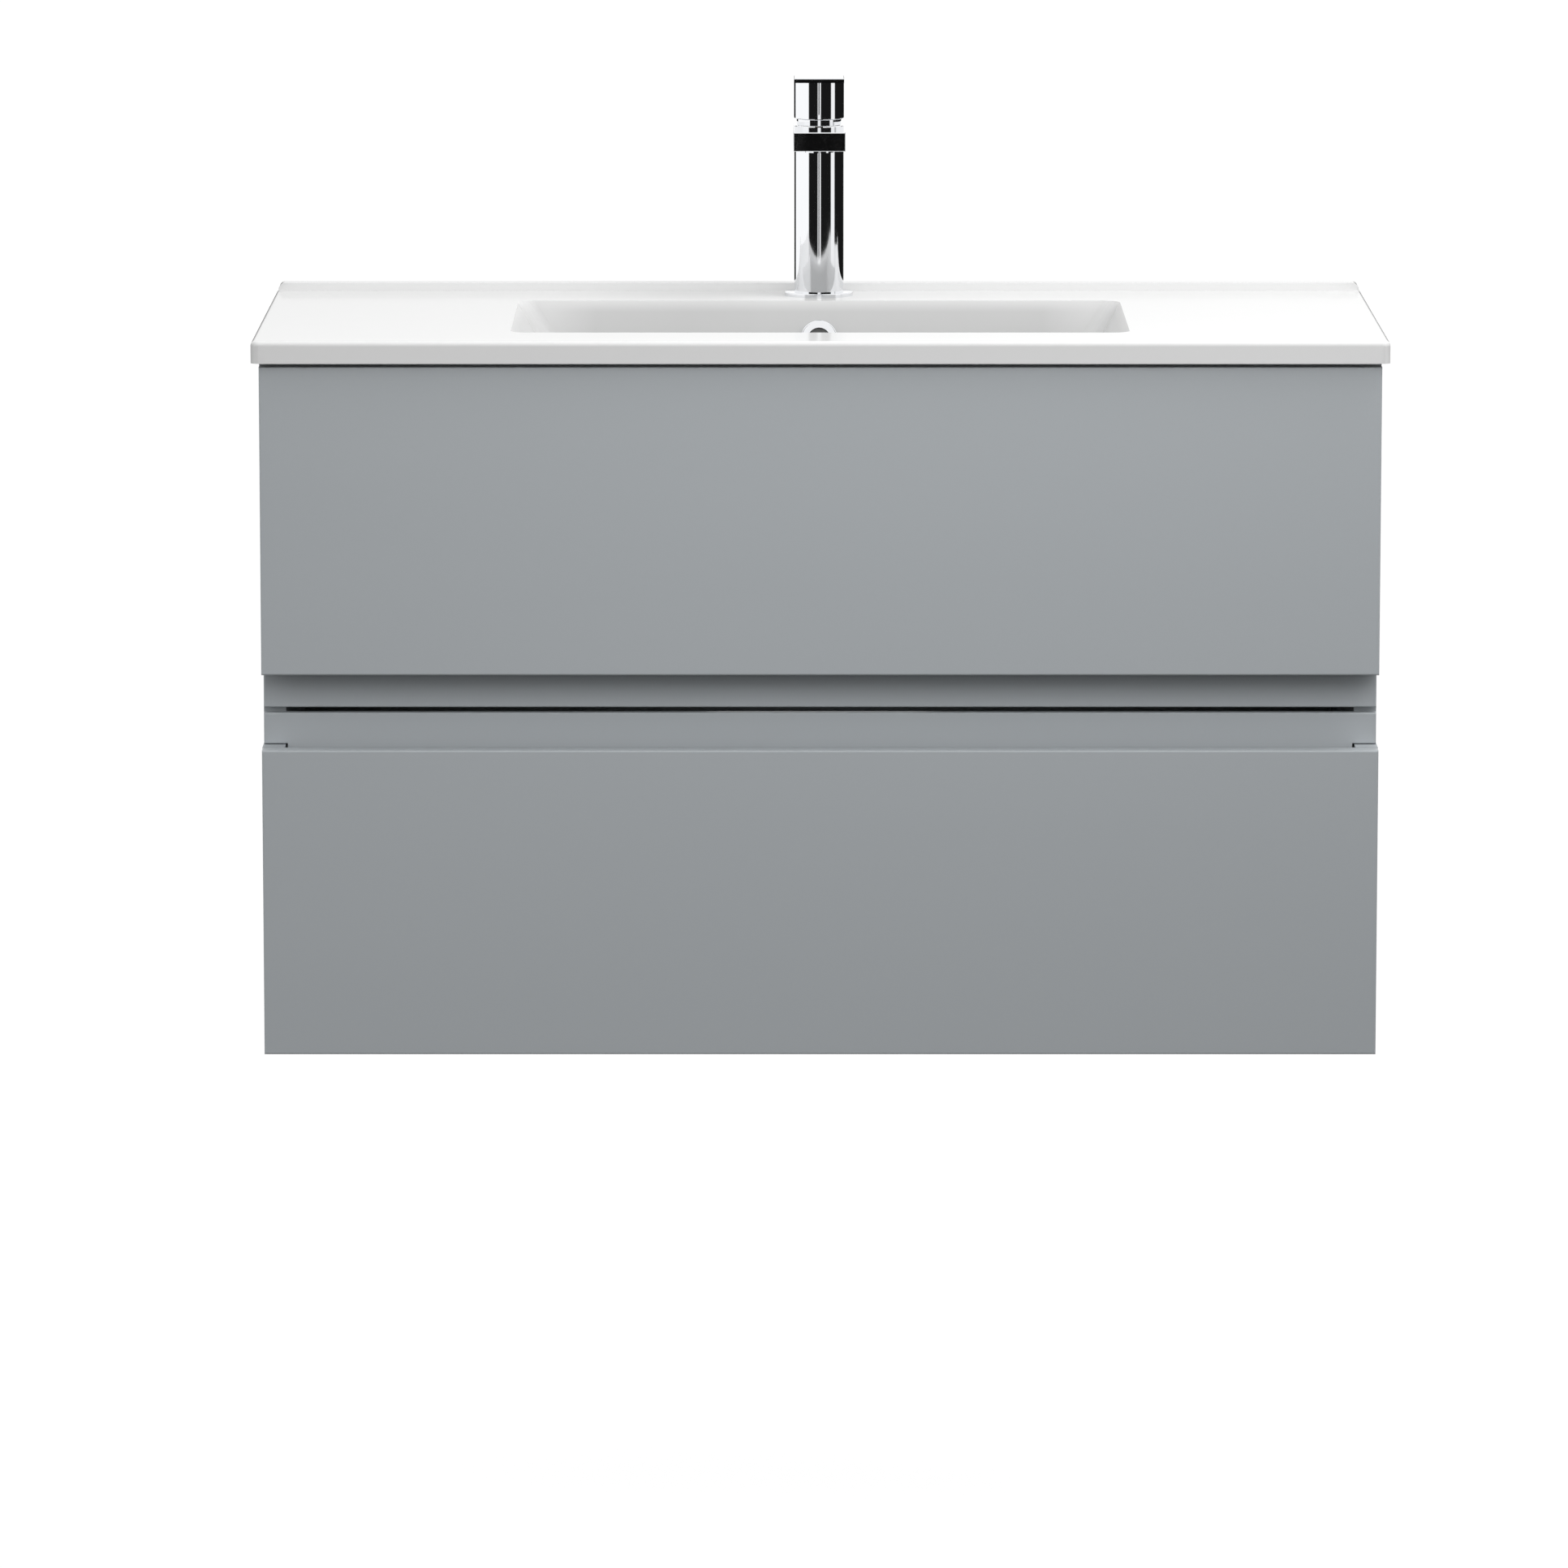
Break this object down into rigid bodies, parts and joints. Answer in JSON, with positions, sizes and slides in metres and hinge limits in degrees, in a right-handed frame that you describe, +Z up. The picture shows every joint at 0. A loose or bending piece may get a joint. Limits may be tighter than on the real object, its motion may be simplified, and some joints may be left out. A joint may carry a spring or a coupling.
{
  "type": "wall-hung vanity cabinet with basin",
  "caption": "Wall-hung bathroom vanity with wide handle-less drawers, a recessed finger groove, a shallow white basin top and a single-lever mixer tap.",
  "frame": {"origin": "centre of the wall fixings on the wall plane, on the cabinet's centre line, 462 mm above its underside", "axes": "+Y into the wall, +Z up, +X to the right of someone who faces the cabinet"},
  "size_m": [0.81, 0.36, 0.679],
  "materials": {
    "front_lacquer": "satin lacquer",
    "carcass_board": "melamine faced board, satin",
    "drawer_board": "melamine faced board, matt",
    "ceramic": "gloss glaze",
    "chrome": "polished",
    "brass": "turned",
    "zinc_steel": "zinc plated",
    "white_plastic": "moulded",
    "black_rubber": "moulded"
  },
  "bodies": {
    "cabinet": {"side_panel_left": "carcass_board", "side_panel_right": "carcass_board", "bottom_panel": "carcass_board", "top_front_rail": "carcass_board", "top_rear_rail": "carcass_board", "lower_rear_rail": "carcass_board", "back_panel": "carcass_board", "cam_fittings": "zinc_steel", "wall_plate_left": "zinc_steel", "wall_plate_right": "zinc_steel", "cabinet_hanger_left": "zinc_steel", "cabinet_hanger_right": "zinc_steel", "hanger_screws": "zinc_steel", "upper_runner_cabinet_members": "zinc_steel", "lower_runner_cabinet_members": "zinc_steel", "basin": "ceramic", "overflow_ring": "chrome", "waste_body": "brass", "waste_washer": "black_rubber", "waste_nut": "white_plastic", "tap_flange": "chrome", "tap_base_seal": "black_rubber", "tap_base_insert": "brass", "tap_body": "chrome", "aerator": "chrome", "cartridge": "white_plastic", "tap_collar": "chrome", "tap_stud": "brass", "tap_washer": "zinc_steel", "tap_nut": "brass"},
    "upper_drawer": {"upper_face_panel": "front_lacquer", "upper_spacer": "front_lacquer", "upper_inner_front": "front_lacquer", "upper_front_screws": "zinc_steel", "upper_drawer_side_left": "drawer_board", "upper_drawer_side_right": "drawer_board", "upper_drawer_back_left": "drawer_board", "upper_drawer_back_right": "drawer_board", "upper_well_side_left": "drawer_board", "upper_well_side_right": "drawer_board", "upper_well_front": "drawer_board", "upper_drawer_base": "drawer_board", "upper_runner_drawer_members": "zinc_steel"},
    "upper_runner_middle": {"upper_runner_middle_members": "zinc_steel"},
    "lower_drawer": {"lower_face_panel": "front_lacquer", "lower_spacer": "front_lacquer", "lower_inner_front": "front_lacquer", "lower_front_screws": "zinc_steel", "lower_drawer_side_left": "drawer_board", "lower_drawer_side_right": "drawer_board", "lower_drawer_back": "drawer_board", "lower_drawer_base": "drawer_board", "lower_runner_drawer_members": "zinc_steel"},
    "lower_runner_middle": {"lower_runner_middle_members": "zinc_steel"},
    "tap_swivel": {"cartridge_turret": "brass"},
    "tap_handle": {"handle_stem": "brass", "handle_knob": "chrome", "handle_lever": "chrome", "handle_grub_screw": "zinc_steel"},
    "plug": {"press_plug": "chrome"}
  },
  "joints": [
    {"name": "upper_drawer_slide", "type": "slide", "parent": "cabinet", "child": "upper_drawer", "axis": [0, -1, 0], "range_m": [0, 0.25]},
    {"name": "upper_runner_slide", "type": "slide", "parent": "cabinet", "child": "upper_runner_middle", "axis": [0, -1, 0], "range_m": [0, 0.125]},
    {"name": "lower_drawer_slide", "type": "slide", "parent": "cabinet", "child": "lower_drawer", "axis": [0, -1, 0], "range_m": [0, 0.25]},
    {"name": "lower_runner_slide", "type": "slide", "parent": "cabinet", "child": "lower_runner_middle", "axis": [0, -1, 0], "range_m": [0, 0.125]},
    {"name": "tap_temperature_turn", "type": "hinge", "parent": "cabinet", "child": "tap_swivel", "pos_m": [0, -0.044, 0.176], "axis": [0, 0, 1], "range_deg": [-45, 45]},
    {"name": "tap_lever_lift", "type": "hinge", "parent": "tap_swivel", "child": "tap_handle", "pos_m": [0, -0.044, 0.176], "axis": [-1, 0, 0], "range_deg": [0, 20]},
    {"name": "plug_press", "type": "slide", "parent": "cabinet", "child": "plug", "axis": [0, 0, -1], "range_m": [0, 0.006], "stiffness_N_per_m": 1500, "springref_m": -0.002}
  ],
  "couplings": [
    {"joint": "upper_runner_slide", "follows": "upper_drawer_slide", "ratio": 0.5},
    {"joint": "lower_runner_slide", "follows": "lower_drawer_slide", "ratio": 0.5}
  ]
}
